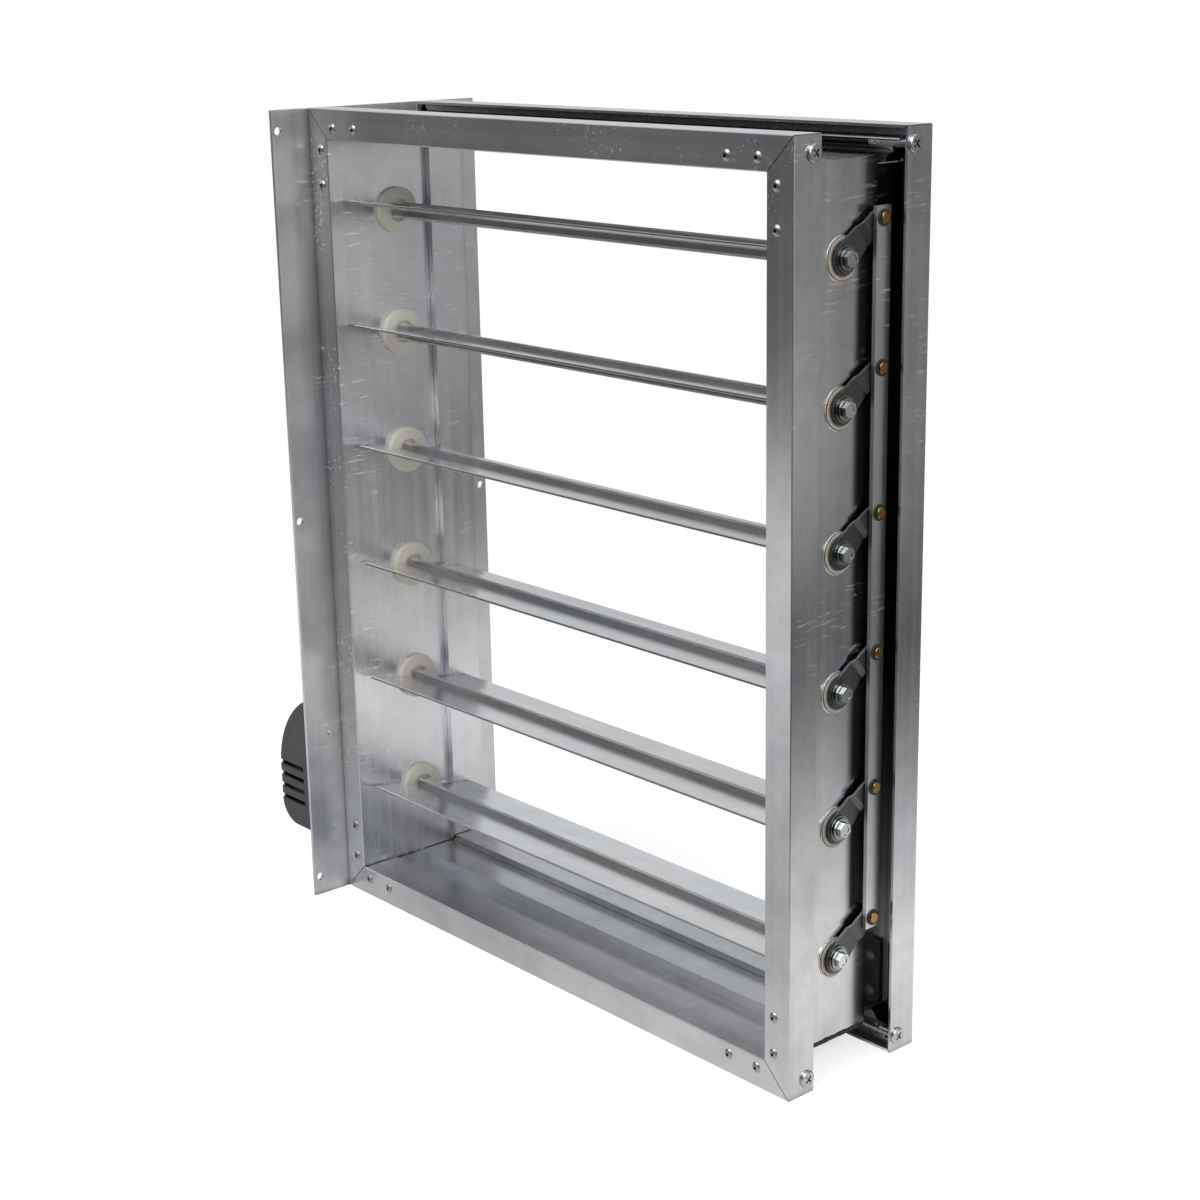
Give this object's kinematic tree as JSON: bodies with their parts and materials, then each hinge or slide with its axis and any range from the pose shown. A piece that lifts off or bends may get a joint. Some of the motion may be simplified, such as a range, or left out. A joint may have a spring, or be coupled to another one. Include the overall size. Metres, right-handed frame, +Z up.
{
  "type": "parallel blade damper",
  "caption": "Rectangular duct damper: mitred aluminium channel frame, parallel pivoting blades linked by levers and a bar, flanged side plate and a rotary actuator on the drive shaft.",
  "frame": {"origin": "middle of the frame's footprint, at the height of its bottom lips and under the row of blade shafts", "axes": "+X along the blades towards the linkage side, +Y along the airflow from the front flange to the rear, +Z up"},
  "size_m": [0.6252, 0.202, 0.668],
  "materials": {
    "frame": "mill, fine lines along the extrusion",
    "blade": "mill, fine lines along the blade",
    "plate": "mill sheet",
    "bar": "mill flat bar",
    "steel": "bright zinc",
    "lever_steel": "dark pressed steel",
    "rivet": "satin",
    "brass": "turned",
    "nylon_left": "moulded, cream",
    "nylon_right": "moulded, aged cream",
    "link_bush": "moulded, dark",
    "cover": "fine texture, dark grey",
    "base": "moulded, dark grey",
    "hub": "sintered grey",
    "gear": "cut",
    "motor": "plated can",
    "board": "green laminate",
    "button": "moulded red",
    "gland": "moulded black"
  },
  "bodies": {
    "frame": {"frame_top": "frame", "frame_bottom": "frame", "frame_left": "frame", "frame_right": "frame", "corner_brackets": "steel", "front_rivets": "rivet", "rear_rivets": "rivet", "corner_screws": "steel", "left_bushes": "nylon_left", "right_bushes": "nylon_right", "bottom_stop_angle": "frame", "top_stop_angle": "frame", "mounting_plate": "plate", "plate_screws": "steel", "actuator_base": "base", "actuator_cover": "cover", "cover_screws": "steel", "base_screws": "steel", "actuator_motor": "motor", "circuit_board": "board", "cable_gland": "gland"},
    "blade_set_1": {"blade_1": "blade", "shaft_1": "steel", "lever_1": "lever_steel", "lever_bolt_1": "steel", "link_pin_1": "brass", "actuator_hub": "hub", "hub_clamp_screw": "steel", "output_gear": "gear"},
    "blade_set_2": {"blade_2": "blade", "shaft_2": "steel", "lever_2": "lever_steel", "lever_bolt_2": "steel", "link_pin_2": "brass"},
    "blade_set_3": {"blade_3": "blade", "shaft_3": "steel", "lever_3": "lever_steel", "lever_bolt_3": "steel", "link_pin_3": "brass"},
    "blade_set_4": {"blade_4": "blade", "shaft_4": "steel", "lever_4": "lever_steel", "lever_bolt_4": "steel", "link_pin_4": "brass"},
    "blade_set_5": {"blade_5": "blade", "shaft_5": "steel", "lever_5": "lever_steel", "lever_bolt_5": "steel", "link_pin_5": "brass"},
    "blade_set_6": {"blade_6": "blade", "shaft_6": "steel", "lever_6": "lever_steel", "lever_bolt_6": "steel", "link_pin_6": "brass"},
    "link": {"link_bar": "bar", "link_bushes": "link_bush"},
    "button": {"release_button": "button"}
  },
  "joints": [
    {"name": "blade_1_turn", "type": "hinge", "parent": "frame", "child": "blade_set_1", "pos_m": [0, 0, 0.084], "axis": [1, 0, 0], "range_deg": [-75.5, 12]},
    {"name": "blade_2_turn", "type": "hinge", "parent": "frame", "child": "blade_set_2", "pos_m": [0, 0, 0.184], "axis": [1, 0, 0], "range_deg": [-75.5, 12]},
    {"name": "blade_3_turn", "type": "hinge", "parent": "frame", "child": "blade_set_3", "pos_m": [0, 0, 0.284], "axis": [1, 0, 0], "range_deg": [-75.5, 12]},
    {"name": "blade_4_turn", "type": "hinge", "parent": "frame", "child": "blade_set_4", "pos_m": [0, 0, 0.384], "axis": [1, 0, 0], "range_deg": [-75.5, 12]},
    {"name": "blade_5_turn", "type": "hinge", "parent": "frame", "child": "blade_set_5", "pos_m": [0, 0, 0.484], "axis": [1, 0, 0], "range_deg": [-75.5, 12]},
    {"name": "blade_6_turn", "type": "hinge", "parent": "frame", "child": "blade_set_6", "pos_m": [0, 0, 0.584], "axis": [1, 0, 0], "range_deg": [-75.5, 12]},
    {"name": "link_pivot", "type": "hinge", "parent": "blade_set_1", "child": "link", "pos_m": [0, 0.03005, 0.10886], "axis": [1, 0, 0], "range_deg": [-12, 75.5]},
    {"name": "release_press", "type": "slide", "parent": "frame", "child": "button", "axis": [1, 0, 0], "range_m": [0, 0.0025], "stiffness_N_per_m": 400, "springref_m": -0.0005}
  ],
  "couplings": [
    {"joint": "blade_2_turn", "follows": "blade_1_turn", "ratio": 1},
    {"joint": "blade_3_turn", "follows": "blade_1_turn", "ratio": 1},
    {"joint": "blade_4_turn", "follows": "blade_1_turn", "ratio": 1},
    {"joint": "blade_5_turn", "follows": "blade_1_turn", "ratio": 1},
    {"joint": "blade_6_turn", "follows": "blade_1_turn", "ratio": 1},
    {"joint": "link_pivot", "follows": "blade_1_turn", "ratio": -1}
  ]
}
